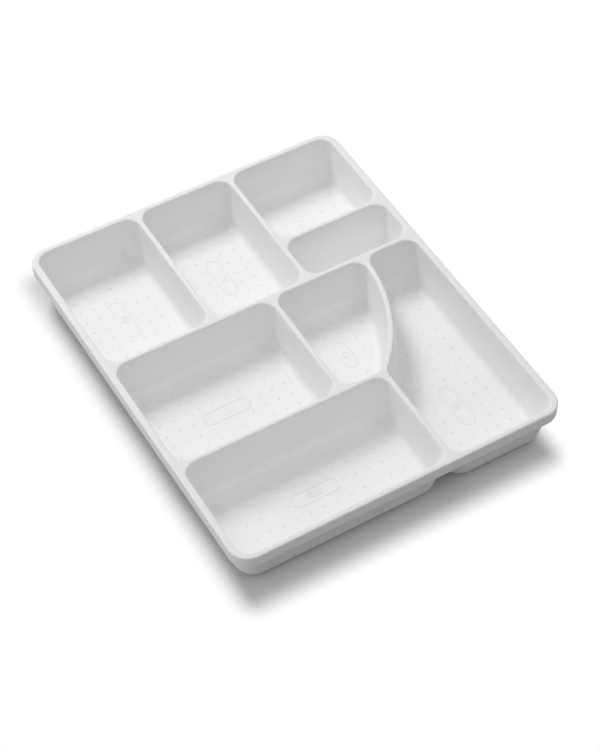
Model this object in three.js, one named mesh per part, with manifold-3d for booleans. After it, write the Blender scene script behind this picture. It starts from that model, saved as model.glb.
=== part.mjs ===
// Drawer organizer: a moulded tray with eight compartments, a soft-grip liner on each flat floor
// and rubber feet in collars underneath.
// Millimetres, +Z up. X runs along the front edge and Y towards the back.
// The origin lies under the middle of the tray, on the plane that the feet stand on.

import * as THREE from 'three';
import { mergeVertices } from 'three/addons/utils/BufferGeometryUtils.js';
import Module from 'manifold-3d';

// Overall plan and rim
const TRAY_WIDTH = 305;
const TRAY_LENGTH = 370;
const RIM_CORNER_RADIUS = 17;
const RIM_SIDE = 6.3;            // rim's outer edge to the first wall, left and right
const RIM_END = 5;               // the same, front and back
const RIM_EDGE_RADIUS = 1.4;
const LAND_THICKNESS = 2.4;
const SKIRT_HEIGHT = 12;
const SKIRT_WALL = 2;

// Plan of the compartments, between wall planes at the rim
const RIDGE_WIDTH = 4.4;
const BACK_ROW_LENGTH = 138.9;
const FRONT_ROW_LENGTH = 99.2;
const BACK_RIGHT_WIDTH = 100;
const BACK_MIDDLE_WIDTH = 87.5;
const SCOOP_LENGTH = 44.9;
const CURVED_BACK_WIDTH = 87.3;
const LONG_WIDTH = 99.2;
const LONG_BACK_WIDTH = 47;
const CORNER_RADIUS = 12;
const CORNER_SPREAD = 0.075;     // how much the corners open out for each millimetre of depth
const FLOOR_CORNER_RADIUS = 5;   // the least radius, at the bottom of the scoop

// Section of a compartment
const FLOOR_DEPTH = 41;          // rim to the top of the liner
const SCOOP_DEPTH = 38;
const DRAFT = THREE.MathUtils.degToRad(7);
const FLOOR_FILLET = 7;
const LIP_RADIUS = 1.4;
const POD_WALL = 1.8;
const FLOOR_SKIN = 1.6;          // plastic left under the liner

// Liners and feet
const LINER_THICKNESS = 1;
const LINER_MARGIN = 1;          // flat floor left round the liner's recess
const LINER_GAP = 0.3;
const FOOT_DIAMETER = 14;
const FOOT_STANDOFF = 2.4;
const FOOT_CHAMFER = 0.6;
const FOOT_GAP = 0.3;
const FOOT_MARGIN = 3;           // collar to the edge of the pod's flat bottom
const COLLAR_WALL = 1.4;
const COLLAR_HEIGHT = 1;

// Facets
const CORNER_STEPS = 4;
const CURVE_STEPS = 10;
const LIP_STEPS = 2;
const FILLET_STEPS = 3;
const SCOOP_STEPS = 6;
const FOOT_SIDES = 20;
const SCOOP_END_ANGLE = THREE.MathUtils.degToRad(80);
const LEAST_FLAT = 0.5;          // straight left on each side of the scoop's end corners
const CUT_THROUGH = 1;           // how far a cutting body passes the face it opens
const FUSE = 0.5;                // how far a body that is joined sinks into its neighbour

// Heights
const POD_DEPTH = FLOOR_DEPTH + LINER_THICKNESS + FLOOR_SKIN;
const RIM_Z = POD_DEPTH + FOOT_STANDOFF;

const wasm = await Module();
wasm.setup();

const point = (x, y) => new THREE.Vector2(x, y);

// A wall in plan, from one corner of a room to the next, with the room on its left.
// A curved wall lies on a circle, and the room is inside or outside that circle.
function wallBetween(from, to, arc) {
  if (arc) {
    return { to, centre: arc.centre, radius: from.distanceTo(arc.centre), roomInside: arc.roomInside };
  }
  const along = to.clone().sub(from).normalize();
  return { to, start: from, along, inward: point(-along.y, along.x) };
}

const curveRadius = (wall, inset) => wall.radius + (wall.roomInside ? -inset : inset);

const straightStart = (wall, inset) => wall.start.clone().addScaledVector(wall.inward, inset);

// Where a straight wall crosses another wall, each moved inwards by its inset.
function crossing(wall, inset, other, otherInset, hint) {
  if (wall.centre) return crossing(other, otherInset, wall, inset, hint);
  const start = straightStart(wall, inset);
  if (!other.centre) {
    const gap = straightStart(other, otherInset).sub(start);
    const reach = gap.dot(other.inward) / wall.along.dot(other.inward);
    return start.addScaledVector(wall.along, reach);
  }
  const toCentre = other.centre.clone().sub(start);
  const middle = toCentre.dot(wall.along);
  const offset = toCentre.dot(wall.inward);
  const half = Math.sqrt(curveRadius(other, otherInset) ** 2 - offset ** 2);
  const ends = [middle - half, middle + half].map((reach) => start.clone().addScaledVector(wall.along, reach));
  return ends[0].distanceTo(hint) < ends[1].distanceTo(hint) ? ends[0] : ends[1];
}

// The point of a wall, moved inwards by its inset, that lies nearest to a point.
function foot(wall, inset, from) {
  if (wall.centre) {
    const ray = from.clone().sub(wall.centre).setLength(curveRadius(wall, inset));
    return ray.add(wall.centre);
  }
  const height = from.clone().sub(straightStart(wall, inset)).dot(wall.inward);
  return from.clone().addScaledVector(wall.inward, -height);
}

// Points on an arc about a centre, both ends included.
function arcPoints(centre, from, to, steps, clockwise = false) {
  const start = from.clone().sub(centre);
  const end = to.clone().sub(centre);
  const turn = Math.atan2(start.cross(end), start.dot(end));
  const sweep = clockwise === turn > 0 ? turn - Math.sign(turn) * 2 * Math.PI : turn;
  return Array.from({ length: steps + 1 }, (_, i) => {
    return start.clone().rotateAround(point(0, 0), (sweep * i) / steps).add(centre);
  });
}

// Outline of a room with its walls moved inwards and its corners rounded.
function outline(walls, insets, radius) {
  const corners = walls.map((wall, i) => {
    const j = (i + 1) % walls.length;
    const centre = crossing(wall, insets[i] + radius, walls[j], insets[j] + radius, wall.to);
    return { centre, from: foot(wall, insets[i], centre), to: foot(walls[j], insets[j], centre) };
  });
  return walls.flatMap((wall, i) => {
    const before = corners[(i + walls.length - 1) % walls.length];
    const corner = corners[i];
    const round = arcPoints(corner.centre, corner.from, corner.to, CORNER_STEPS);
    if (!wall.centre) return round;
    const curve = arcPoints(wall.centre, before.to, corner.from, CURVE_STEPS, !wall.roomInside);
    return curve.slice(1, -1).concat(round);
  });
}

// A solid from vertices and triangles.
function solid(positions, triangles) {
  return new wasm.Manifold(new wasm.Mesh({
    numProp: 3,
    vertProperties: Float32Array.from(positions),
    triVerts: Uint32Array.from(triangles),
  }));
}

// A closed solid through outlines of equal length, lowest first.
function loft(rings) {
  const count = rings[0].points.length;
  const positions = rings.flatMap((ring) => ring.points.flatMap((p) => [p.x, p.y, ring.z]));
  const triangles = [];
  for (let level = 0; level + 1 < rings.length; level += 1) {
    for (let i = 0; i < count; i += 1) {
      const low = level * count + i;
      const lowNext = level * count + ((i + 1) % count);
      triangles.push(low, lowNext, lowNext + count, low, lowNext + count, low + count);
    }
  }
  const lid = (ring) => THREE.ShapeUtils.triangulateShape(ring.points, []);
  const top = (rings.length - 1) * count;
  lid(rings[0]).forEach(([a, b, c]) => triangles.push(a, c, b));
  lid(rings[rings.length - 1]).forEach(([a, b, c]) => triangles.push(top + a, top + b, top + c));
  return solid(positions, triangles);
}

// A solid of revolution about Z from a closed profile of [radius, height] points.
function turned(profile, x, y) {
  const lathe = new THREE.LatheGeometry(profile.map(([r, z]) => point(r, z)), FOOT_SIDES);
  lathe.rotateX(Math.PI / 2);
  lathe.translate(x, y, 0);
  lathe.deleteAttribute('normal');
  lathe.deleteAttribute('uv');
  const merged = mergeVertices(lathe);
  return solid(merged.attributes.position.array, merged.index.array);
}

// How far a drafted wall has come in at a depth, down to its fillet at the floor.
// The skin moves the wall outwards.
function wallInset(depth, floorDepth, fillet, skin) {
  const centreDepth = floorDepth - fillet;
  if (depth <= centreDepth + fillet * Math.sin(DRAFT)) {
    return depth * Math.tan(DRAFT) - skin / Math.cos(DRAFT);
  }
  const centreInset = centreDepth * Math.tan(DRAFT) + (fillet - skin) / Math.cos(DRAFT);
  return centreInset - Math.sqrt(Math.max(fillet ** 2 - (depth - centreDepth) ** 2, 0));
}

// Radius of a room's corners in plan. They open out with depth and close in again round the fillet.
function cornerRadius(inset, depth) {
  const past = inset - depth * Math.tan(DRAFT);
  return Math.max(CORNER_RADIUS + CORNER_SPREAD * depth - past, FLOOR_CORNER_RADIUS);
}

const steps = (count, from, to) => {
  return Array.from({ length: count + 1 }, (_, i) => from + ((to - from) * i) / count);
};

// Depths from the floor up the fillet to where the wall runs straight.
function filletDepths(floorDepth, fillet) {
  const centreDepth = floorDepth - fillet;
  return steps(FILLET_STEPS, Math.PI / 2, DRAFT).map((angle) => centreDepth + fillet * Math.sin(angle));
}

// The rounded lip, from the wall up to the land and on through it, as [inset, depth].
function lipSteps() {
  const round = steps(LIP_STEPS, Math.PI / 2, 0).map((angle) => {
    const depth = LIP_RADIUS * (1 - Math.cos(angle));
    return [LIP_RADIUS * (Math.sin(angle) - 1) + depth * Math.tan(DRAFT), depth];
  });
  return round.concat([[-LIP_RADIUS, -CUT_THROUGH]]);
}

// One level of a room with the same inset on all its walls.
function evenRing(walls, inset, depth) {
  return { points: outline(walls, walls.map(() => inset), cornerRadius(inset, depth)), z: RIM_Z - depth };
}

const lipRings = (walls) => lipSteps().map(([inset, depth]) => evenRing(walls, inset, depth));

// The hollow of a compartment with a flat floor, lip included.
function flatHollow(walls) {
  const rings = filletDepths(FLOOR_DEPTH, FLOOR_FILLET).map((depth) => {
    return evenRing(walls, wallInset(depth, FLOOR_DEPTH, FLOOR_FILLET, 0), depth);
  });
  return loft(rings.concat(lipRings(walls)));
}

// The outside of its pod, up into the land.
function flatPod(walls) {
  const fillet = FLOOR_FILLET + POD_WALL;
  const depths = filletDepths(POD_DEPTH, fillet).concat([LAND_THICKNESS / 2]);
  return loft(depths.map((depth) => evenRing(walls, wallInset(depth, POD_DEPTH, fillet, POD_WALL), depth)));
}

// Levels of the scoop: its long walls follow a half ellipse, its end walls are like the others.
function scoopRings(walls, halfWidth, skin, fromAngle) {
  const depthLimit = SCOOP_DEPTH + skin;
  return steps(SCOOP_STEPS, SCOOP_END_ANGLE, fromAngle).map((angle) => {
    const depth = depthLimit * Math.sin(angle);
    const halfLeft = (halfWidth + skin) * Math.cos(angle);
    const side = halfWidth - halfLeft;
    const end = wallInset(depth, depthLimit, FLOOR_FILLET + skin, skin);
    const radius = Math.min(cornerRadius(side, depth), halfLeft - LEAST_FLAT);
    return { points: outline(walls, [side, end, side, end], radius), z: RIM_Z - depth };
  });
}

function scoopHollow(walls) {
  const firstAngle = Math.asin((2 * LIP_RADIUS) / SCOOP_DEPTH);
  return loft(scoopRings(walls, SCOOP_LENGTH / 2, 0, firstAngle).concat(lipRings(walls)));
}

function scoopPod(walls) {
  const firstAngle = Math.asin(LAND_THICKNESS / 2 / (SCOOP_DEPTH + POD_WALL));
  return loft(scoopRings(walls, SCOOP_LENGTH / 2, POD_WALL, firstAngle));
}

// Walls of a rectangular room.
function rectangle(x0, x1, y0, y1) {
  const corners = [point(x0, y0), point(x1, y0), point(x1, y1), point(x0, y1)];
  return corners.map((corner, i) => wallBetween(corner, corners[(i + 1) % 4]));
}

// Wall planes of the plan, and the ridges between them
const left = RIM_SIDE - TRAY_WIDTH / 2;
const right = -left;
const front = RIM_END - TRAY_LENGTH / 2;
const back = -front;
const backRowNear = back - BACK_ROW_LENGTH;
const middleRowFar = backRowNear - RIDGE_WIDTH;
const frontRowFar = front + FRONT_ROW_LENGTH;
const middleRowNear = frontRowFar + RIDGE_WIDTH;
const scoopFar = backRowNear + SCOOP_LENGTH;
const backRightLeft = right - BACK_RIGHT_WIDTH;
const backMiddleRight = backRightLeft - RIDGE_WIDTH;
const backMiddleLeft = backMiddleRight - BACK_MIDDLE_WIDTH;
const backLeftRight = backMiddleLeft - RIDGE_WIDTH;
const longLeft = right - LONG_WIDTH;
const frontLeftRight = longLeft - RIDGE_WIDTH;
const longBackLeft = right - LONG_BACK_WIDTH;
const curvedLeft = longBackLeft - RIDGE_WIDTH - CURVED_BACK_WIDTH;
const middleLeftRight = curvedLeft - RIDGE_WIDTH;

// The curved divider leaves the ridge behind it at a right angle and ends where the ridges
// beside the front compartment meet.
const dividerTop = point(longBackLeft - RIDGE_WIDTH / 2, middleRowFar + RIDGE_WIDTH / 2);
const dividerEnd = point(longLeft - RIDGE_WIDTH / 2, frontRowFar + RIDGE_WIDTH / 2);
const dividerSpan = dividerTop.clone().sub(dividerEnd);
const dividerRadius = dividerSpan.lengthSq() / (2 * dividerSpan.x);
const dividerCentre = point(dividerTop.x - dividerRadius, dividerTop.y);

// A point of the divider's left or right face at a given y.
function dividerAt(y, side) {
  const radius = dividerRadius + (side * RIDGE_WIDTH) / 2;
  return point(dividerCentre.x + Math.sqrt(radius ** 2 - (y - dividerCentre.y) ** 2), y);
}

function curvedRoom() {
  const near = dividerAt(middleRowNear, -1);
  const far = dividerAt(middleRowFar, -1);
  const nearLeft = point(curvedLeft, middleRowNear);
  const farLeft = point(curvedLeft, middleRowFar);
  return [
    wallBetween(nearLeft, near),
    wallBetween(near, far, { centre: dividerCentre, roomInside: true }),
    wallBetween(far, farLeft),
    wallBetween(farLeft, nearLeft),
  ];
}

function longRoom() {
  const radius = dividerRadius + RIDGE_WIDTH / 2;
  const drop = Math.sqrt(radius ** 2 - (longLeft - dividerCentre.x) ** 2);
  const far = dividerAt(middleRowFar, 1);
  const bend = point(longLeft, dividerCentre.y - drop);
  const nearLeft = point(longLeft, front);
  const nearRight = point(right, front);
  const farRight = point(right, middleRowFar);
  return [
    wallBetween(nearLeft, nearRight),
    wallBetween(nearRight, farRight),
    wallBetween(farRight, far),
    wallBetween(far, bend, { centre: dividerCentre, roomInside: false }),
    wallBetween(bend, nearLeft),
  ];
}

const flatRooms = {
  back_left: rectangle(left, backLeftRight, backRowNear, back),
  back_middle: rectangle(backMiddleLeft, backMiddleRight, backRowNear, back),
  back_right: rectangle(backRightLeft, right, scoopFar + RIDGE_WIDTH, back),
  middle_left: rectangle(left, middleLeftRight, middleRowNear, middleRowFar),
  middle_curved: curvedRoom(),
  right_long: longRoom(),
  front_left: rectangle(left, frontLeftRight, front, frontRowFar),
};
const scoopRoom = rectangle(backRightLeft, right, backRowNear, scoopFar);

// Where the flat of a floor and of a pod's bottom begins, from the wall planes
const floorEdge = wallInset(FLOOR_DEPTH, FLOOR_DEPTH, FLOOR_FILLET, 0);
const podEdge = wallInset(POD_DEPTH, POD_DEPTH, FLOOR_FILLET + POD_WALL, POD_WALL);
const recessEdge = floorEdge + LINER_MARGIN;

// A flat plate that follows a room's floor, between two depths.
function floorPlate(walls, inset, lowDepth, highDepth) {
  return loft([evenRing(walls, inset, lowDepth), evenRing(walls, inset, highDepth)]);
}

// Feet stand at the corners of the pods, and halfway along a side where a place says 0.
const footReach = podEdge + FOOT_DIAMETER / 2 + FOOT_GAP + COLLAR_WALL + FOOT_MARGIN;
const between = (low, high, place) => {
  if (place === 0) return (low + high) / 2;
  return place < 0 ? low + footReach : high - footReach;
};
const feet = {
  front_left: point(between(left, frontLeftRight, -1), between(front, frontRowFar, -1)),
  front_middle: point(between(left, frontLeftRight, 1), between(front, frontRowFar, -1)),
  front_right: point(between(longLeft, right, 1), between(front, middleRowFar, -1)),
  middle_left: point(between(left, middleLeftRight, -1), between(middleRowNear, middleRowFar, 0)),
  middle_right: point(between(longLeft, right, 1), between(front, middleRowFar, 1)),
  back_left: point(between(left, backLeftRight, -1), between(backRowNear, back, 1)),
  back_middle: point(between(backMiddleLeft, backMiddleRight, 0), between(backRowNear, back, 1)),
  back_right: point(between(backRightLeft, right, 1), between(scoopFar, back, 1)),
};

function footCollar(place) {
  const inner = FOOT_DIAMETER / 2 + FOOT_GAP;
  const outer = inner + COLLAR_WALL;
  const low = FOOT_STANDOFF - COLLAR_HEIGHT;
  const high = FOOT_STANDOFF + FUSE;
  return turned([[inner, low], [outer, low], [outer, high], [inner, high], [inner, low]], place.x, place.y);
}

function rubberFoot(place) {
  const radius = FOOT_DIAMETER / 2;
  const profile = [[0, 0], [radius - FOOT_CHAMFER, 0], [radius, FOOT_CHAMFER], [radius, FOOT_STANDOFF]];
  return turned(profile.concat([[0, FOOT_STANDOFF]]), place.x, place.y);
}

// The rim: a land with a rounded outer edge and a skirt hanging from it.
function rim() {
  const plan = rectangle(-TRAY_WIDTH / 2, TRAY_WIDTH / 2, -TRAY_LENGTH / 2, TRAY_LENGTH / 2);
  const ring = (inset, depth) => {
    return { points: outline(plan, plan.map(() => inset), RIM_CORNER_RADIUS - inset), z: RIM_Z - depth };
  };
  const edge = steps(LIP_STEPS, 0, Math.PI / 2).map((angle) => {
    return ring(RIM_EDGE_RADIUS * (1 - Math.cos(angle)), RIM_EDGE_RADIUS * (1 - Math.sin(angle)));
  });
  const block = loft([ring(0, SKIRT_HEIGHT)].concat(edge));
  const under = loft([ring(SKIRT_WALL, SKIRT_HEIGHT + CUT_THROUGH), ring(SKIRT_WALL, LAND_THICKNESS)]);
  return block.subtract(under);
}

function trayShell() {
  let shell = rim().add(scoopPod(scoopRoom));
  Object.values(flatRooms).forEach((walls) => {
    shell = shell.add(flatPod(walls));
  });
  Object.values(feet).forEach((place) => {
    shell = shell.add(footCollar(place));
  });
  shell = shell.subtract(scoopHollow(scoopRoom));
  Object.values(flatRooms).forEach((walls) => {
    const recess = floorPlate(walls, recessEdge, FLOOR_DEPTH + LINER_THICKNESS, FLOOR_DEPTH - FUSE);
    shell = shell.subtract(flatHollow(walls)).subtract(recess);
  });
  return shell;
}

const floorLiner = (walls) => {
  return floorPlate(walls, recessEdge + LINER_GAP, FLOOR_DEPTH + LINER_THICKNESS, FLOOR_DEPTH);
};

// A named mesh from a solid.
function piece(name, body, material) {
  const { numProp, vertProperties, triVerts } = body.getMesh();
  const geometry = new THREE.BufferGeometry();
  geometry.setAttribute('position', new THREE.BufferAttribute(vertProperties, numProp));
  geometry.setIndex(new THREE.BufferAttribute(triVerts, 1));
  geometry.computeVertexNormals();
  const mesh = new THREE.Mesh(geometry, material);
  mesh.name = name;
  return mesh;
}

const trayPlastic = new THREE.MeshStandardMaterial({ color: 0xeeeeec, roughness: 0.55, metalness: 0 });
const linerSoft = new THREE.MeshStandardMaterial({ color: 0xf0f0ee, roughness: 0.8, metalness: 0 });
const footRubber = new THREE.MeshStandardMaterial({ color: 0xc9c9c6, roughness: 0.85, metalness: 0 });

const organizer = new THREE.Group();
organizer.add(piece('tray_shell', trayShell(), trayPlastic));
Object.entries(flatRooms).forEach(([name, walls]) => {
  organizer.add(piece(`liner_${name}`, floorLiner(walls), linerSoft));
});
Object.entries(feet).forEach(([name, place]) => {
  organizer.add(piece(`foot_${name}`, rubberFoot(place), footRubber));
});

export default organizer;
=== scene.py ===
"""Drawer organizer: the moulded tray, its dotted soft-grip liners and its rubber feet.

Metres, +Z up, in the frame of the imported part. X runs along the front edge and Y to the back.
"""
import cmath
import math
from collections import namedtuple

import bmesh
import bpy
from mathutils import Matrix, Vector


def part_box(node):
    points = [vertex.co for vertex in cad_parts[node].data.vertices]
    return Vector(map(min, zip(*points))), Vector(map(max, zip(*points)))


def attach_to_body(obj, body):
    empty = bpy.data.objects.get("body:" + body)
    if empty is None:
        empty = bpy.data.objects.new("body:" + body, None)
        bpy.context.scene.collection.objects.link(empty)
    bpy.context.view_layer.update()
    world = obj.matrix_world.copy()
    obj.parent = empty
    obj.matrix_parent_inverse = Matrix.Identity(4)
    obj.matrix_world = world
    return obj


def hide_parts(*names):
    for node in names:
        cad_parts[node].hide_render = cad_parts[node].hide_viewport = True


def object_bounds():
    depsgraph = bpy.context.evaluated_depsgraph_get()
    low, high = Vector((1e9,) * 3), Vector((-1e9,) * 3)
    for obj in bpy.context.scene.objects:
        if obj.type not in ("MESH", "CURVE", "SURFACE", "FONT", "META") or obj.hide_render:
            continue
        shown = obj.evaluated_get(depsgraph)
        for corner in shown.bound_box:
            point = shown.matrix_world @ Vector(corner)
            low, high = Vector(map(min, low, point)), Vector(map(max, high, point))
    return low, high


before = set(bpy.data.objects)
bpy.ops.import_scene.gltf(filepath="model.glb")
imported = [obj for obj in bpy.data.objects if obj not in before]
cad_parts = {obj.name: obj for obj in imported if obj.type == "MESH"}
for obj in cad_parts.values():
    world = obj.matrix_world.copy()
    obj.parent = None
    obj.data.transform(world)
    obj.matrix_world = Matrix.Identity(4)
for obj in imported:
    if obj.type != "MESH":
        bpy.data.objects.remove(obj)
cad_low, cad_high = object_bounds()
MM = 0.001

# Rim and ridges
RIM_CORNER_RADIUS = 17 * MM
RIM_EDGE_RADIUS = 1.4 * MM
LAND_THICKNESS = 2.4 * MM
SKIRT_HEIGHT = 12 * MM
SKIRT_WALL = 2 * MM
SKIRT_EDGE_RADIUS = 0.5 * MM
RIDGE_WIDTH = 4.4 * MM
LONG_BACK_WIDTH = 47 * MM

# Section of a compartment
FLOOR_DEPTH = 41 * MM
SCOOP_DEPTH = 38 * MM
DRAFT = math.radians(7)
FLOOR_FILLET = 7 * MM
LIP_RADIUS = 1.4 * MM
CORNER_RADIUS = 12 * MM
CORNER_SPREAD = 0.075
FLOOR_CORNER_RADIUS = 5 * MM
POD_WALL = 1.8 * MM
SCOOP_WALL_START = 2 * LIP_RADIUS
SCOOP_END_ANGLE = math.radians(87)
LEAST_FLAT = 0.5 * MM

# Liners and feet
LINER_THICKNESS = 1 * MM
LINER_MARGIN = 1 * MM
LINER_GAP = 0.3 * MM
LINER_SEAM = 0.03 * MM
LINER_EDGE_RADIUS = 0.1 * MM
RECESS_EDGE_RADIUS = 0.05 * MM
FOOT_GAP = 0.3 * MM
COLLAR_WALL = 1.4 * MM
COLLAR_HEIGHT = 1 * MM
COLLAR_EDGE_RADIUS = 0.3 * MM
FOOT_EDGE_RADIUS = 0.6 * MM
FOOT_DIMPLE_RADIUS = 4.2 * MM
FOOT_DIMPLE_DEPTH = 0.5 * MM

# Relief on the liners
DOT_MARGIN_X = 5.8 * MM
DOT_MARGIN_Y = 6.9 * MM
DOT_RADIUS = 1.15 * MM
DOT_HEIGHT = 0.5 * MM
DOT_WALL_CLEARANCE = 1.18 * MM
DOT_LINE_CLEARANCE = 2.2 * MM
LINE_WIDTH = 0.9 * MM
LINE_HEIGHT = 0.4 * MM
CAPSULE_WIDTH = 12.6 * MM
CAPSULE_LENGTH = 43.4 * MM
SHORT_CAPSULE_LENGTH = 29.2 * MM
LONG_CAPSULE_LENGTH = 45 * MM
MARK_SIZE = 6.5 * MM

# Plain marks, as shares of half the mark's height
RING_HOLE = 0.45
BAR_LENGTH = 4
BAR_WIDTH = 0.5
BAR_SHIFT = 0.6
SQUARE_REACH = 1.3
POINTED_REACH = 1.2
HEXAGON_REACH = 1.1
HEXAGON_HOLE = 0.5

# Fineness of the curved surfaces
CORNER_STEPS = 12
CURVE_STEPS = 48
LIP_STEPS = 5
EDGE_STEPS = 3
FILLET_STEPS = 9
SCOOP_STEPS = 20
CIRCLE_SIDES = 40
RING_SIDES = 24
HOLE_SIDES = 16
CAPSULE_STEPS = 16
BAR_STEPS = 6
DOT_SEGMENTS = 12
DOT_RINGS = 6
LINE_SIDES = 8
SHARP_ANGLE = math.radians(40)
FLAT_FACE_WEIGHT = 80

RIM_Z = cad_high.z
FOOT_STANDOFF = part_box("foot_front_left")[1].z
POD_DEPTH = RIM_Z - FOOT_STANDOFF


# Plan: points are complex numbers, x + yj

Wall = namedtuple("Wall", "start end along inward centre radius outward")


def dot(a, b):
    return (a.conjugate() * b).real


def straight(start, end):
    """A straight wall with the room on its left."""
    along = (end - start) / abs(end - start)
    return Wall(start, end, along, along * 1j, None, None, None)


def curved(start, end, centre, room_inside):
    """A wall on a circle, with the room inside or outside the circle."""
    return Wall(start, end, None, None, centre, abs(start - centre), -1 if room_inside else 1)


def rectangle(left, right, near, far):
    corners = [complex(left, near), complex(right, near), complex(right, far), complex(left, far)]
    return [straight(a, b) for a, b in zip(corners, corners[1:] + corners[:1])]


def crossing(wall, inset, other, other_inset, hint):
    """Where two walls meet once each has moved into the room by its inset."""
    if wall.centre is not None:
        return crossing(other, other_inset, wall, inset, hint)
    start = wall.start + wall.inward * inset
    if other.centre is None:
        gap = other.start + other.inward * other_inset - start
        return start + wall.along * (dot(gap, other.inward) / dot(wall.along, other.inward))
    to_centre = other.centre - start
    radius = other.radius + other.outward * other_inset
    half = math.sqrt(radius ** 2 - dot(to_centre, wall.inward) ** 2)
    middle = dot(to_centre, wall.along)
    ends = [start + wall.along * (middle + side * half) for side in (-1, 1)]
    return min(ends, key=lambda end: abs(end - hint))


def nearest(wall, inset, point):
    """The point of a wall, moved into the room by its inset, that is nearest to a point."""
    if wall.centre is not None:
        ray = point - wall.centre
        return wall.centre + ray / abs(ray) * (wall.radius + wall.outward * inset)
    return point - wall.inward * dot(point - wall.start - wall.inward * inset, wall.inward)


def arc(centre, start, end, count, clockwise=False):
    """Points on an arc about a centre, both ends included."""
    turn = cmath.phase((end - centre) / (start - centre))
    if clockwise == (turn > 0):
        turn -= math.copysign(2 * math.pi, turn)
    return [centre + (start - centre) * cmath.exp(1j * turn * i / count) for i in range(count + 1)]


def outline(walls, insets, radius):
    """A room's outline with its walls moved inwards and its corners rounded."""
    corners = []
    for i, wall in enumerate(walls):
        j = (i + 1) % len(walls)
        centre = crossing(wall, insets[i] + radius, walls[j], insets[j] + radius, wall.end)
        corners.append((nearest(wall, insets[i], centre), centre, nearest(walls[j], insets[j], centre)))
    points = []
    for i, wall in enumerate(walls):
        start, centre, end = corners[i]
        if wall.centre is not None:
            before = corners[i - 1][2]
            points += arc(wall.centre, before, start, CURVE_STEPS, wall.outward > 0)[1:-1]
        points += arc(centre, start, end, CORNER_STEPS)
    return points


def circle(centre, radius, sides=CIRCLE_SIDES):
    return [centre + cmath.rect(radius, 2 * math.pi * i / sides) for i in range(sides)]


# Sections: (inset from the wall plane, depth under the rim)

def section_arc(inset, depth, radius, start, end, count):
    """Points on an arc about (inset, depth), angles in degrees."""
    angles = [math.radians(start + (end - start) * i / count) for i in range(count + 1)]
    return [(inset + radius * math.cos(a), depth + radius * math.sin(a)) for a in angles]


def fillet_arc(floor_depth, fillet, skin):
    """The fillet from a drafted wall to the floor. The skin moves the wall outwards."""
    depth = floor_depth - fillet
    inset = depth * math.tan(DRAFT) + (fillet - skin) / math.cos(DRAFT)
    return section_arc(inset, depth, fillet, 180 - math.degrees(DRAFT), 90, FILLET_STEPS)


def wall_inset(depth, floor_depth, fillet, skin):
    """How far a drafted wall has come in at a depth, its fillet included."""
    centre_depth = floor_depth - fillet
    if depth <= centre_depth + fillet * math.sin(DRAFT):
        return depth * math.tan(DRAFT) - skin / math.cos(DRAFT)
    centre_inset = centre_depth * math.tan(DRAFT) + (fillet - skin) / math.cos(DRAFT)
    return centre_inset - math.sqrt(max(fillet ** 2 - (depth - centre_depth) ** 2, 0))


def lip_section():
    """The rounded lip, from the land to the wall."""
    round_lip = section_arc(-LIP_RADIUS, LIP_RADIUS, LIP_RADIUS, -90, 0, LIP_STEPS)
    return [(inset + depth * math.tan(DRAFT), depth) for inset, depth in round_lip]


def corner_radius(inset, depth):
    """Radius of a room's corners in plan. They open out with depth and close in again round the fillet."""
    past = inset - depth * math.tan(DRAFT)
    return max(CORNER_RADIUS + CORNER_SPREAD * depth - past, FLOOR_CORNER_RADIUS)


FLOOR_EDGE = wall_inset(FLOOR_DEPTH, FLOOR_DEPTH, FLOOR_FILLET, 0)
RECESS_EDGE = FLOOR_EDGE + LINER_MARGIN
LINER_REACH = RECESS_EDGE + LINER_GAP


def room_sides(name):
    """A room's wall planes at the rim, from its liner's box: left, right, near and far."""
    low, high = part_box("liner_" + name)
    return low.x - LINER_REACH, high.x + LINER_REACH, low.y - LINER_REACH, high.y + LINER_REACH


class Divider:
    """The curved ridge between two rooms. It leaves the ridge behind it at a right angle."""

    def __init__(self, top, end):
        span = top - end
        self.radius = abs(span) ** 2 / (2 * span.real)
        self.centre = top - self.radius

    def at(self, y, side):
        """A point of its left (-1) or right (1) face."""
        radius = self.radius + side * RIDGE_WIDTH / 2
        return complex(self.centre.real + math.sqrt(radius ** 2 - (y - self.centre.imag) ** 2), y)


def curved_room(sides, divider):
    left, _, near, far = sides
    near_right = divider.at(near, -1)
    far_right = divider.at(far, -1)
    return [
        straight(complex(left, near), near_right),
        curved(near_right, far_right, divider.centre, True),
        straight(far_right, complex(left, far)),
        straight(complex(left, far), complex(left, near)),
    ]


def long_room(sides, divider):
    left, right, near, far = sides
    radius = divider.radius + RIDGE_WIDTH / 2
    drop = math.sqrt(radius ** 2 - (left - divider.centre.real) ** 2)
    bend = complex(left, divider.centre.imag - drop)
    far_left = divider.at(far, 1)
    return [
        straight(complex(left, near), complex(right, near)),
        straight(complex(right, near), complex(right, far)),
        straight(complex(right, far), far_left),
        curved(far_left, bend, divider.centre, False),
        straight(bend, complex(left, near)),
    ]


def plan_rooms():
    """The walls of the rooms with a flat floor, by name, and of the scoop."""
    names = ("back_left", "back_middle", "back_right", "middle_left", "front_left")
    sides = {name: room_sides(name) for name in names + ("middle_curved", "right_long")}
    long_left, right, _, middle_far = sides["right_long"]
    front_far = sides["front_left"][3]
    half_ridge = RIDGE_WIDTH / 2
    top = complex(right - LONG_BACK_WIDTH - half_ridge, middle_far + half_ridge)
    end = complex(long_left - half_ridge, front_far + half_ridge)
    divider = Divider(top, end)
    rooms = {name: rectangle(*sides[name]) for name in names}
    rooms["middle_curved"] = curved_room(sides["middle_curved"], divider)
    rooms["right_long"] = long_room(sides["right_long"], divider)
    scoop_left, scoop_right, back_right_near, _ = sides["back_right"]
    scoop = rectangle(scoop_left, scoop_right, sides["back_left"][2], back_right_near - RIDGE_WIDTH)
    return rooms, scoop


# Surfaces

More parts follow.
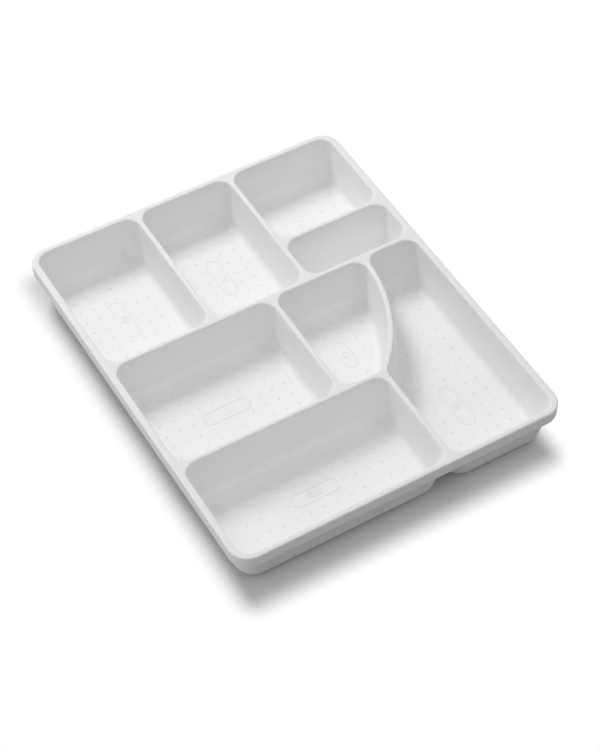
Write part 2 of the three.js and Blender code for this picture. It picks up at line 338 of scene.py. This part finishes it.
class Surface:
    """Rings of points joined into one closed surface."""

    def __init__(self):
        self.mesh = bmesh.new()

    def ring(self, points, z):
        return [self.mesh.verts.new((p.real, p.imag, z)) for p in points]

    def skin(self, rings):
        """Bands of faces from each ring to the next."""
        for ring, following in zip(rings, rings[1:]):
            for i in range(len(ring)):
                self.mesh.faces.new((ring[i - 1], ring[i], following[i], following[i - 1]))

    def cover(self, *rings):
        """A flat face inside the first ring, left open inside the others."""
        pairs = [(ring[i - 1], ring[i]) for ring in rings for i in range(len(ring))]
        edges = [self.mesh.edges.get(pair) or self.mesh.edges.new(pair) for pair in pairs]
        bmesh.ops.triangle_fill(self.mesh, use_beauty=True, edges=edges, normal=(0, 0, 1))

    def piece(self, name, material):
        """The finished surface as a piece that rides on the frame."""
        bmesh.ops.recalc_face_normals(self.mesh, faces=self.mesh.faces)
        data = bpy.data.meshes.new(name)
        self.mesh.to_mesh(data)
        self.mesh.free()
        data.shade_smooth()
        data.set_sharp_from_angle(angle=SHARP_ANGLE)
        data.materials.append(material)
        piece = bpy.data.objects.new(name, data)
        bpy.context.scene.collection.objects.link(piece)
        return piece


def settle(piece):
    """Evens the shading of flat faces and turns the piece's modifiers into plain mesh."""
    normals = piece.modifiers.new("even_shading", "WEIGHTED_NORMAL")
    normals.keep_sharp = True
    normals.weight = FLAT_FACE_WEIGHT
    depsgraph = bpy.context.evaluated_depsgraph_get()
    data = bpy.data.meshes.new_from_object(piece.evaluated_get(depsgraph), depsgraph=depsgraph)
    data.name = piece.name
    piece.modifiers.clear()
    piece.data = data
    return piece


def attach(piece, node):
    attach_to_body(piece, "root")
    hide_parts(node)


# The moulded tray

def even_rings(surface, walls, section):
    """One ring for each step of a section that is the same along all the walls."""
    return [
        surface.ring(outline(walls, [inset] * len(walls), corner_radius(inset, depth)), RIM_Z - depth)
        for inset, depth in section
    ]


def flat_room(surface, walls):
    """The inside of a compartment and its liner's recess. Returns the ring of its mouth."""
    edge = RECESS_EDGE_RADIUS
    recess = section_arc(RECESS_EDGE - edge, FLOOR_DEPTH + edge, edge, -90, 0, EDGE_STEPS)
    bottom = [(RECESS_EDGE, FLOOR_DEPTH + LINER_THICKNESS)]
    section = lip_section() + fillet_arc(FLOOR_DEPTH, FLOOR_FILLET, 0) + recess + bottom
    rings = even_rings(surface, walls, section)
    surface.skin(rings)
    surface.cover(rings[-1])
    return rings[0]


def foot_collar(surface, place):
    """A collar round a foot. Returns the ring where it meets the pod."""
    inner = place["radius"] + FOOT_GAP
    outer = inner + COLLAR_WALL
    low = FOOT_STANDOFF - COLLAR_HEIGHT
    edge = COLLAR_EDGE_RADIUS
    section = [(outer, FOOT_STANDOFF)]
    section += section_arc(outer - edge, low + edge, edge, 0, -90, EDGE_STEPS)
    section += section_arc(inner + edge, low + edge, edge, -90, -180, EDGE_STEPS)
    section.append((inner, FOOT_STANDOFF))
    rings = [surface.ring(circle(place["centre"], radius), z) for radius, z in section]
    surface.skin(rings)
    surface.cover(rings[-1])
    return rings[0]


def flat_pod(surface, walls, feet):
    """The outside of a compartment, with its collars. Returns the ring where it leaves the land."""
    fillet = FLOOR_FILLET + POD_WALL
    root = [(wall_inset(LAND_THICKNESS, POD_DEPTH, fillet, POD_WALL), LAND_THICKNESS)]
    rings = even_rings(surface, walls, root + fillet_arc(POD_DEPTH, fillet, POD_WALL))
    surface.skin(rings)
    surface.cover(rings[-1], *[foot_collar(surface, place) for place in feet])
    return rings[0]


def scoop_rings(surface, walls, skin, start_depth):
    """Rings of the scoop: its long walls follow a half ellipse, its ends are drafted."""
    half_width = abs(walls[1].end - walls[1].start) / 2
    depth_limit = SCOOP_DEPTH + skin
    start = math.asin(start_depth / depth_limit)
    rings = []
    for i in range(SCOOP_STEPS + 1):
        angle = start + (SCOOP_END_ANGLE - start) * i / SCOOP_STEPS
        depth = depth_limit * math.sin(angle)
        half_left = (half_width + skin) * math.cos(angle)
        side = half_width - half_left
        end = wall_inset(depth, depth_limit, FLOOR_FILLET + skin, skin)
        radius = min(corner_radius(side, depth), half_left - LEAST_FLAT)
        rings.append(surface.ring(outline(walls, [side, end, side, end], radius), RIM_Z - depth))
    return rings


def scoop_room(surface, walls):
    rings = even_rings(surface, walls, lip_section())
    rings += scoop_rings(surface, walls, 0, SCOOP_WALL_START)
    surface.skin(rings)
    surface.cover(rings[-1])
    return rings[0]


def scoop_pod(surface, walls):
    rings = scoop_rings(surface, walls, POD_WALL, LAND_THICKNESS)
    surface.skin(rings)
    surface.cover(rings[-1])
    return rings[0]


def rim_rings(surface):
    """From the land round the rim's edge, down the skirt and up behind it."""
    plan = rectangle(cad_low.x, cad_high.x, cad_low.y, cad_high.y)
    edge = SKIRT_EDGE_RADIUS
    section = section_arc(RIM_EDGE_RADIUS, RIM_EDGE_RADIUS, RIM_EDGE_RADIUS, -90, -180, LIP_STEPS)
    section += section_arc(edge, SKIRT_HEIGHT - edge, edge, 180, 90, EDGE_STEPS)
    section += section_arc(SKIRT_WALL - edge, SKIRT_HEIGHT - edge, edge, 90, 0, EDGE_STEPS)
    section.append((SKIRT_WALL, LAND_THICKNESS))
    return [
        surface.ring(outline(plan, [inset] * len(plan), RIM_CORNER_RADIUS - inset), RIM_Z - depth)
        for inset, depth in section
    ]


def tray_moulding(rooms, scoop, feet, material):
    surface = Surface()
    rim = rim_rings(surface)
    surface.skin(rim)
    mouths = [flat_room(surface, walls) for walls in rooms.values()]
    surface.cover(rim[0], scoop_room(surface, scoop), *mouths)
    roots = [flat_pod(surface, walls, feet.get(name, [])) for name, walls in rooms.items()]
    surface.cover(rim[-1], scoop_pod(surface, scoop), *roots)
    return settle(surface.piece("tray_moulding", material))


# Feet

FOOT_ROOMS = {
    "front_left": "front_left",
    "front_middle": "front_left",
    "front_right": "right_long",
    "middle_left": "middle_left",
    "middle_right": "right_long",
    "back_left": "back_left",
    "back_middle": "back_middle",
    "back_right": "back_right",
}


def foot_places():
    """Each foot's centre and radius, from the frame."""
    places = {}
    for name in FOOT_ROOMS:
        low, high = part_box("foot_" + name)
        centre = complex(low.x + high.x, low.y + high.y) / 2
        places[name] = {"centre": centre, "radius": (high.x - low.x) / 2}
    return places


def rubber_foot(name, place, material):
    """A round foot with a dished sole."""
    radius = place["radius"]
    edge = FOOT_EDGE_RADIUS
    dish = FOOT_DIMPLE_DEPTH
    section = [(radius, FOOT_STANDOFF)]
    section += section_arc(radius - edge, edge, edge, 0, -90, EDGE_STEPS)
    section += section_arc(FOOT_DIMPLE_RADIUS + dish, dish, dish, -90, -180, EDGE_STEPS)
    surface = Surface()
    rings = [surface.ring(circle(place["centre"], reach), z) for reach, z in section]
    surface.skin(rings)
    surface.cover(rings[0])
    surface.cover(rings[-1])
    return settle(surface.piece("rubber_foot_" + name, material))


# Liners

class Relief:
    """Dots, capsule and mark of one liner. Shifts are from the middle of the liner's box."""

    def __init__(self, columns, rows, mark, length=CAPSULE_LENGTH, along_y=True, shift=0, dot_shift=0):
        self.columns = columns
        self.rows = rows
        self.mark = mark
        self.length = length
        self.turn = 1j if along_y else 1
        self.shift = shift
        self.dot_shift = dot_shift


RELIEFS = {
    "back_left": Relief(6, 9, "rings"),
    "back_middle": Relief(5, 9, "bars"),
    "back_right": Relief(6, 5, "square"),
    "middle_left": Relief(10, 7, "triangle", along_y=False, shift=-1.7j * MM),
    "middle_curved": Relief(5, 7, "diamond", SHORT_CAPSULE_LENGTH, shift=-4.6 * MM, dot_shift=1.4 * MM),
    "right_long": Relief(6, 15, "hexagon", LONG_CAPSULE_LENGTH, shift=-42j * MM),
    "front_left": Relief(13, 5, "bars", along_y=False),
}


def polygon(sides, radius, turn=0.0):
    return [cmath.rect(radius, 2 * math.pi * i / sides + turn) for i in range(sides)]


def capsule(length, width, steps=CAPSULE_STEPS):
    """A capsule outline along x."""
    reach = (length - width) / 2
    half = width / 2
    right = [reach + cmath.rect(half, math.pi * (i / steps - 0.5)) for i in range(steps + 1)]
    left = [-p for p in right]
    return right + left


def mark_lines(mark, size):
    """Closed outlines of a plain mark of that height, about the origin."""
    half = size / 2
    if mark == "rings":
        return [circle(0, half, RING_SIDES), circle(0, half * RING_HOLE, HOLE_SIDES)]
    if mark == "bars":
        bar = capsule(BAR_LENGTH * half, half * BAR_WIDTH, BAR_STEPS)
        return [[p + 1j * shift for p in bar] for shift in (-half * BAR_SHIFT, half * BAR_SHIFT)]
    if mark == "square":
        return [polygon(4, half * SQUARE_REACH, math.pi / 4)]
    if mark == "triangle":
        return [polygon(3, half * POINTED_REACH, math.pi / 2)]
    if mark == "diamond":
        return [polygon(4, half * POINTED_REACH)]
    return [polygon(6, half * HEXAGON_REACH), circle(0, half * HEXAGON_HOLE, HOLE_SIDES)]


def relief_curve(name, relief, centre, top):
    """The capsule and its mark as closed curves on the liner's top."""
    lines = [capsule(relief.length, CAPSULE_WIDTH)] + mark_lines(relief.mark, MARK_SIZE)
    data = bpy.data.curves.new("marks_" + name, "CURVE")
    data.dimensions = "3D"
    for line in lines:
        spline = data.splines.new("POLY")
        spline.points.add(len(line) - 1)
        spline.use_cyclic_u = True
        for point, p in zip(spline.points, line):
            place = centre + p * relief.turn
            point.co = (place.real, place.imag, top, 1)
    marks = bpy.data.objects.new("marks_" + name, data)
    bpy.context.scene.collection.objects.link(marks)
    return marks


def dot_field(name, walls, relief, centre, top):
    """The part of a liner that carries dots: inside its edge and outside the capsule."""
    surface = Surface()
    inset = RECESS_EDGE + DOT_WALL_CLEARANCE
    edge = surface.ring(outline(walls, [inset] * len(walls), corner_radius(inset, FLOOR_DEPTH)), top)
    grown = capsule(relief.length + 2 * DOT_LINE_CLEARANCE, CAPSULE_WIDTH + 2 * DOT_LINE_CLEARANCE)
    hole = surface.ring([centre + p * relief.turn for p in grown], top)
    surface.cover(edge, hole)
    return surface.piece("dot_field_" + name, None)


def add_node(tree, kind, **settings):
    node = tree.nodes.new(kind)
    for key, value in settings.items():
        setattr(node, key, value)
    return node


RAISED = "raised"
RELIEF_INPUTS = (
    ("Dot Field", "NodeSocketObject"),
    ("Marks", "NodeSocketObject"),
    ("Centre", "NodeSocketVector"),
    ("Columns", "NodeSocketInt"),
    ("Rows", "NodeSocketInt"),
    ("Spread X", "NodeSocketFloat"),
    ("Spread Y", "NodeSocketFloat"),
    ("Dot Radius", "NodeSocketFloat"),
    ("Dot Height", "NodeSocketFloat"),
    ("Line Width", "NodeSocketFloat"),
    ("Line Height", "NodeSocketFloat"),
    ("Material", "NodeSocketMaterial"),
)


def relief_sockets(tree):
    """The liner's mesh in and out, and the named inputs of the relief."""
    face = tree.interface
    face.new_socket("Geometry", in_out="INPUT", socket_type="NodeSocketGeometry")
    face.new_socket("Geometry", in_out="OUTPUT", socket_type="NodeSocketGeometry")
    for name, kind in RELIEF_INPUTS:
        face.new_socket(name, in_out="INPUT", socket_type=kind)


def dot_grid(tree, source):
    """The points of an even grid about the liner's middle."""
    link = tree.links.new
    grid = add_node(tree, "GeometryNodeMeshGrid")
    for count, axis in (("Columns", "X"), ("Rows", "Y")):
        link(source["Spread " + axis], grid.inputs["Size " + axis])
        link(source[count], grid.inputs["Vertices " + axis])
    placed = add_node(tree, "GeometryNodeSetPosition")
    link(grid.outputs["Mesh"], placed.inputs["Geometry"])
    link(source["Centre"], placed.inputs["Offset"])
    return placed.outputs["Geometry"]


def over_dot_field(tree, source):
    """True for a point with the dot field straight under it."""
    link = tree.links.new
    field = add_node(tree, "GeometryNodeObjectInfo")
    link(source["Dot Field"], field.inputs["Object"])
    above = add_node(tree, "ShaderNodeVectorMath", operation="ADD")
    position = add_node(tree, "GeometryNodeInputPosition")
    link(position.outputs[0], above.inputs[0])
    above.inputs[1].default_value = (0, 0, 1)
    hit = add_node(tree, "GeometryNodeRaycast")
    link(field.outputs["Geometry"], hit.inputs["Target Geometry"])
    link(above.outputs[0], hit.inputs["Source Position"])
    hit.inputs["Ray Direction"].default_value = (0, 0, -1)
    return hit.outputs["Is Hit"]


def raised_dots(tree, source):
    """A low dome on each point of the grid that lies over the dot field."""
    link = tree.links.new
    shape = add_node(tree, "GeometryNodeMeshUVSphere")
    shape.inputs["Segments"].default_value = DOT_SEGMENTS
    shape.inputs["Rings"].default_value = DOT_RINGS
    shape.inputs["Radius"].default_value = 1
    size = add_node(tree, "ShaderNodeCombineXYZ")
    link(source["Dot Radius"], size.inputs["X"])
    link(source["Dot Radius"], size.inputs["Y"])
    link(source["Dot Height"], size.inputs["Z"])
    dots = add_node(tree, "GeometryNodeInstanceOnPoints")
    link(dot_grid(tree, source), dots.inputs["Points"])
    link(over_dot_field(tree, source), dots.inputs["Selection"])
    link(shape.outputs["Mesh"], dots.inputs["Instance"])
    link(size.outputs[0], dots.inputs["Scale"])
    return dots.outputs[0]


def raised_lines(tree, source):
    """A rounded rib along each outline of the capsule and its mark."""
    link = tree.links.new
    marks = add_node(tree, "GeometryNodeObjectInfo")
    link(source["Marks"], marks.inputs["Object"])
    upright = add_node(tree, "GeometryNodeSetCurveNormal")
    upright.mode = "Z_UP"
    link(marks.outputs["Geometry"], upright.inputs["Curve"])
    rib = add_node(tree, "GeometryNodeCurvePrimitiveCircle")
    rib.inputs["Resolution"].default_value = LINE_SIDES
    rib.inputs["Radius"].default_value = 1
    half_width = add_node(tree, "ShaderNodeMath", operation="MULTIPLY")
    link(source["Line Width"], half_width.inputs[0])
    half_width.inputs[1].default_value = 0.5
    size = add_node(tree, "ShaderNodeCombineXYZ")
    link(half_width.outputs[0], size.inputs["X"])
    link(source["Line Height"], size.inputs["Y"])
    shape = add_node(tree, "GeometryNodeTransform")
    link(rib.outputs["Curve"], shape.inputs["Geometry"])
    link(size.outputs[0], shape.inputs["Scale"])
    ribs = add_node(tree, "GeometryNodeCurveToMesh")
    link(upright.outputs[0], ribs.inputs["Curve"])
    link(shape.outputs[0], ribs.inputs["Profile Curve"])
    return ribs.outputs[0]


def liner_relief_tree():
    """Geometry nodes: dots in an even grid wherever the dot field is hit, and raised lines along curves."""
    tree = bpy.data.node_groups.new("liner_relief", "GeometryNodeTree")
    relief_sockets(tree)
    link = tree.links.new
    source = add_node(tree, "NodeGroupInput").outputs
    joined = add_node(tree, "GeometryNodeJoinGeometry")
    link(raised_dots(tree, source), joined.inputs[0])
    link(raised_lines(tree, source), joined.inputs[0])
    real = add_node(tree, "GeometryNodeRealizeInstances")
    link(joined.outputs[0], real.inputs[0])
    raised = add_node(tree, "GeometryNodeStoreNamedAttribute", data_type="FLOAT", domain="POINT")
    raised.inputs["Name"].default_value = RAISED
    raised.inputs["Value"].default_value = 1
    link(real.outputs[0], raised.inputs["Geometry"])
    smooth = add_node(tree, "GeometryNodeSetShadeSmooth")
    link(raised.outputs[0], smooth.inputs[0])
    whole = add_node(tree, "GeometryNodeJoinGeometry")
    link(source["Geometry"], whole.inputs[0])
    link(smooth.outputs[0], whole.inputs[0])
    dressed = add_node(tree, "GeometryNodeSetMaterial")
    link(whole.outputs[0], dressed.inputs["Geometry"])
    link(source["Material"], dressed.inputs["Material"])
    result = add_node(tree, "NodeGroupOutput")
    link(dressed.outputs[0], result.inputs[0])
    return tree


def set_inputs(modifier, tree, values):
    """Sets a modifier's inputs by their names."""
    for item in tree.interface.items_tree:
        if item.in_out == "INPUT" and item.name in values:
            modifier[item.identifier] = values[item.name]


def liner_plate(name, walls, material):
    """A soft plate that fills its recess."""
    edge = LINER_EDGE_RADIUS
    reach = RECESS_EDGE + LINER_SEAM
    section = [(reach, FLOOR_DEPTH + LINER_THICKNESS)]
    section += section_arc(reach + edge, FLOOR_DEPTH + edge, edge, 180, 270, EDGE_STEPS)
    surface = Surface()
    rings = even_rings(surface, walls, section)
    surface.skin(rings)
    surface.cover(rings[0])
    surface.cover(rings[-1])
    return surface.piece("grip_liner_" + name, material)


def grip_liner(name, walls, tree, material):
    """A liner's plate with raised dots, a capsule and a mark on top."""
    relief = RELIEFS[name]
    low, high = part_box("liner_" + name)
    liner = liner_plate(name, walls, material)
    middle = complex(low.x + high.x, low.y + high.y) / 2
    centre = middle + relief.shift
    dots = middle + relief.dot_shift
    field = dot_field(name, walls, relief, centre, high.z)
    marks = relief_curve(name, relief, centre, high.z)
    modifier = liner.modifiers.new("relief", "NODES")
    modifier.node_group = tree
    set_inputs(modifier, tree, {
        "Dot Field": field,
        "Marks": marks,
        "Centre": (dots.real, dots.imag, high.z),
        "Columns": relief.columns,
        "Rows": relief.rows,
        "Spread X": high.x - low.x - 2 * DOT_MARGIN_X,
        "Spread Y": high.y - low.y - 2 * DOT_MARGIN_Y,
        "Dot Radius": DOT_RADIUS,
        "Dot Height": DOT_HEIGHT,
        "Line Width": LINE_WIDTH,
        "Line Height": LINE_HEIGHT,
        "Material": material,
    })
    settle(liner)
    for helper in (field, marks):
        bpy.data.objects.remove(helper)
    return liner


# Finishes

SPECULAR_LEVEL = 0.3
MOTTLE_SCALE = 45
MOTTLE_DETAIL = 3
GRAIN_DETAIL = 2
GRAIN_STRENGTH = 0.3
RELIEF_TINT = (0.89, 0.89, 0.885)


def moulded_finish(name, pale, dark, roughness, grain_size, grain_depth):
    """A moulded surface: faint mottling in its colour and gloss, and a fine grain."""
    material = bpy.data.materials.new(name)
    material.use_nodes = True
    tree = material.node_tree
    link = tree.links.new
    shader = tree.nodes["Principled BSDF"]
    shader.inputs["Specular IOR Level"].default_value = SPECULAR_LEVEL
    place = add_node(tree, "ShaderNodeTexCoord")
    mottle = add_node(tree, "ShaderNodeTexNoise")
    mottle.inputs["Scale"].default_value = MOTTLE_SCALE
    mottle.inputs["Detail"].default_value = MOTTLE_DETAIL
    link(place.outputs["Object"], mottle.inputs["Vector"])
    tint = add_node(tree, "ShaderNodeMix", data_type="RGBA", name="tint")
    tint.inputs["A"].default_value = (*dark, 1)
    tint.inputs["B"].default_value = (*pale, 1)
    link(mottle.outputs["Fac"], tint.inputs["Factor"])
    link(tint.outputs["Result"], shader.inputs["Base Color"])
    gloss = add_node(tree, "ShaderNodeMapRange")
    gloss.inputs["To Min"].default_value = roughness[0]
    gloss.inputs["To Max"].default_value = roughness[1]
    link(mottle.outputs["Fac"], gloss.inputs["Value"])
    link(gloss.outputs["Result"], shader.inputs["Roughness"])
    grain = add_node(tree, "ShaderNodeTexNoise")
    grain.inputs["Scale"].default_value = 1 / grain_size
    grain.inputs["Detail"].default_value = GRAIN_DETAIL
    link(place.outputs["Object"], grain.inputs["Vector"])
    bump = add_node(tree, "ShaderNodeBump")
    bump.inputs["Strength"].default_value = GRAIN_STRENGTH
    bump.inputs["Distance"].default_value = grain_depth
    link(grain.outputs["Fac"], bump.inputs["Height"])
    link(bump.outputs["Normal"], shader.inputs["Normal"])
    return material


def tint_relief(material, tint):
    """Makes the raised dots and lines a little darker than the plate around them."""
    tree = material.node_tree
    shader = tree.nodes["Principled BSDF"]
    raised = add_node(tree, "ShaderNodeAttribute", attribute_name=RAISED)
    mix = add_node(tree, "ShaderNodeMix", data_type="RGBA")
    mix.inputs["B"].default_value = (*tint, 1)
    tree.links.new(raised.outputs["Fac"], mix.inputs["Factor"])
    tree.links.new(tree.nodes["tint"].outputs["Result"], mix.inputs["A"])
    tree.links.new(mix.outputs["Result"], shader.inputs["Base Color"])


def tray_plastic():
    return moulded_finish(
        "white_satin_plastic",
        pale=(0.94, 0.94, 0.935),
        dark=(0.91, 0.91, 0.905),
        roughness=(0.55, 0.7),
        grain_size=0.8 * MM,
        grain_depth=0.03 * MM,
    )


def liner_rubber():
    material = moulded_finish(
        "white_soft_grip",
        pale=(0.95, 0.95, 0.945),
        dark=(0.92, 0.92, 0.915),
        roughness=(0.75, 0.9),
        grain_size=0.6 * MM,
        grain_depth=0.04 * MM,
    )
    tint_relief(material, RELIEF_TINT)
    return material


def foot_rubber():
    return moulded_finish(
        "grey_rubber",
        pale=(0.55, 0.55, 0.54),
        dark=(0.48, 0.48, 0.47),
        roughness=(0.75, 0.9),
        grain_size=0.7 * MM,
        grain_depth=0.08 * MM,
    )


# Studio

CAMERA_PLACE = (-0.5691, -0.9548, 1.3514)
CAMERA_TURNS = (39.137, -0.424, -30.812)
CAMERA_LENS = 98.70
SENSOR = 36
AMBIENT = 0.33
FLOOR_HALF = 4.0
FLOOR_BOUNCE = 0.4
# Inside the painted shadow patch the camera sees the floor at this darker tone, so even its lit parts there
# are grey; past the patch it fades to white
FLOOR_SHOWN = 0.79

# Painted shadow patch: where the floor begins to fade into the white backdrop, from the middle of the
# tray's base, and how soon
PAINTED_SHADOW_CENTRE = (-5.5 * MM, 0, 0)
PAINTED_SHADOW_START = (137 * MM, 186 * MM, 0)
PAINTED_SHADOW_REACH = (24 * MM, 28 * MM, 1)


def place_camera():
    data = bpy.data.cameras.new("camera")
    data.lens = CAMERA_LENS
    data.sensor_width = SENSOR
    data.sensor_fit = "AUTO"
    camera = bpy.data.objects.new("camera", data)
    camera.location = CAMERA_PLACE
    camera.rotation_euler = [math.radians(turn) for turn in CAMERA_TURNS]
    bpy.context.scene.collection.objects.link(camera)
    bpy.context.scene.camera = camera


def add_light(name, azimuth, elevation, distance, size, power):
    """A square softbox aimed at the tray. Azimuth 0 is behind it and 90 to its right."""
    data = bpy.data.lights.new(name, "AREA")
    data.shape = "SQUARE"
    data.size = size
    data.energy = power
    light = bpy.data.objects.new(name, data)
    turn = math.radians(azimuth)
    rise = math.radians(elevation)
    light.location = (
        distance * math.sin(turn) * math.cos(rise),
        distance * math.cos(turn) * math.cos(rise),
        distance * math.sin(rise),
    )
    light.rotation_euler = (math.pi / 2 - rise, 0, math.pi - turn)
    bpy.context.scene.collection.objects.link(light)


def studio_lights():
    add_light("key_softbox", azimuth=-10, elevation=50, distance=2.0, size=0.64, power=17.0)
    add_light("front_left_softbox", azimuth=240, elevation=60, distance=3.0, size=1.8, power=9.4)
    add_light("front_right_softbox", azimuth=120, elevation=60, distance=3.0, size=1.8, power=8.4)
    add_light("left_card", azimuth=275, elevation=1, distance=1.6, size=0.2, power=4.6)


def seen_directly(tree):
    """1 on rays that show the background: straight from the camera, mirrored or through glass."""
    path = add_node(tree, "ShaderNodeLightPath")
    first = add_node(tree, "ShaderNodeMath", operation="MAXIMUM")
    second = add_node(tree, "ShaderNodeMath", operation="MAXIMUM")
    tree.links.new(path.outputs["Is Camera Ray"], first.inputs[0])
    tree.links.new(path.outputs["Is Glossy Ray"], first.inputs[1])
    tree.links.new(first.outputs[0], second.inputs[0])
    tree.links.new(path.outputs["Is Transmission Ray"], second.inputs[1])
    return second.outputs[0]


def white_surroundings():
    """Even light from all round, seen as plain white."""
    world = bpy.data.worlds.new("studio")
    bpy.context.scene.world = world
    world.use_nodes = True
    tree = world.node_tree
    lit = tree.nodes["Background"]
    lit.inputs["Strength"].default_value = AMBIENT
    lit.inputs["Color"].default_value = (1, 1, 1, 1)
    shown = add_node(tree, "ShaderNodeBackground")
    shown.inputs["Strength"].default_value = 1
    shown.inputs["Color"].default_value = (1, 1, 1, 1)
    mix = add_node(tree, "ShaderNodeMixShader")
    tree.links.new(seen_directly(tree), mix.inputs["Fac"])
    tree.links.new(lit.outputs[0], mix.inputs[1])
    tree.links.new(shown.outputs[0], mix.inputs[2])
    tree.links.new(mix.outputs[0], tree.nodes["World Output"].inputs["Surface"])


def painted_shadow_fade(tree):
    """How far the floor has faded into the backdrop, by the way out from the tray's base. This paints the
    edge of the tray's shadow.
    """
    place = add_node(tree, "ShaderNodeTexCoord")
    moved = add_node(tree, "ShaderNodeVectorMath", operation="SUBTRACT")
    folded = add_node(tree, "ShaderNodeVectorMath", operation="ABSOLUTE")
    past = add_node(tree, "ShaderNodeVectorMath", operation="SUBTRACT")
    outside = add_node(tree, "ShaderNodeVectorMath", operation="MAXIMUM")
    share = add_node(tree, "ShaderNodeVectorMath", operation="DIVIDE")
    reach = add_node(tree, "ShaderNodeVectorMath", operation="LENGTH")
    fade = add_node(tree, "ShaderNodeMapRange", interpolation_type="SMOOTHSTEP")
    moved.inputs[1].default_value = PAINTED_SHADOW_CENTRE
    past.inputs[1].default_value = PAINTED_SHADOW_START
    outside.inputs[1].default_value = (0, 0, 0)
    share.inputs[1].default_value = PAINTED_SHADOW_REACH
    tree.links.new(place.outputs["Object"], moved.inputs[0])
    tree.links.new(moved.outputs[0], folded.inputs[0])
    tree.links.new(folded.outputs[0], past.inputs[0])
    tree.links.new(past.outputs[0], outside.inputs[0])
    tree.links.new(outside.outputs[0], share.inputs[0])
    tree.links.new(share.outputs[0], reach.inputs[0])
    tree.links.new(reach.outputs["Value"], fade.inputs["Value"])
    return fade.outputs["Result"]


def studio_floor():
    """A white floor with the tray's shadow on it, partly real and partly painted: round the tray's base a
    painted shadow patch shows the floor's own shading at a darker tone, then fades to white. It throws back
    less light than it shows.
    """
    surface = Surface()
    corners = [complex(x, y) * FLOOR_HALF for x, y in ((-1, -1), (1, -1), (1, 1), (-1, 1))]
    surface.cover(surface.ring(corners, 0))
    material = bpy.data.materials.new("studio_white")
    material.use_nodes = True
    tree = material.node_tree
    tree.nodes.remove(tree.nodes["Principled BSDF"])
    seen = seen_directly(tree)
    matte = add_node(tree, "ShaderNodeBsdfDiffuse")
    tone = add_node(tree, "ShaderNodeMix", data_type="RGBA")
    tone.inputs["A"].default_value = (FLOOR_BOUNCE, FLOOR_BOUNCE, FLOOR_BOUNCE, 1)
    tone.inputs["B"].default_value = (FLOOR_SHOWN, FLOOR_SHOWN, FLOOR_SHOWN, 1)
    tree.links.new(seen, tone.inputs["Factor"])
    tree.links.new(tone.outputs["Result"], matte.inputs["Color"])
    backdrop = add_node(tree, "ShaderNodeEmission")
    share = add_node(tree, "ShaderNodeMath", operation="MULTIPLY")
    tree.links.new(seen, share.inputs[0])
    tree.links.new(painted_shadow_fade(tree), share.inputs[1])
    blend = add_node(tree, "ShaderNodeMixShader")
    tree.links.new(share.outputs["Value"], blend.inputs["Fac"])
    tree.links.new(matte.outputs[0], blend.inputs[1])
    tree.links.new(backdrop.outputs[0], blend.inputs[2])
    tree.links.new(blend.outputs[0], tree.nodes["Material Output"].inputs["Surface"])
    floor = surface.piece("studio_floor", material)


def build():
    place_camera()
    rooms, scoop = plan_rooms()
    places = foot_places()
    feet = {}
    for name, room in FOOT_ROOMS.items():
        feet.setdefault(room, []).append(places[name])
    plastic = tray_plastic()
    soft = liner_rubber()
    rubber = foot_rubber()
    attach(tray_moulding(rooms, scoop, feet, plastic), "tray_shell")
    tree = liner_relief_tree()
    for name, walls in rooms.items():
        attach(grip_liner(name, walls, tree, soft), "liner_" + name)
    for name, place in places.items():
        attach(rubber_foot(name, place, rubber), "foot_" + name)
    studio_floor()
    white_surroundings()
    studio_lights()
    bpy.context.scene.view_settings.view_transform = "Standard"


build()
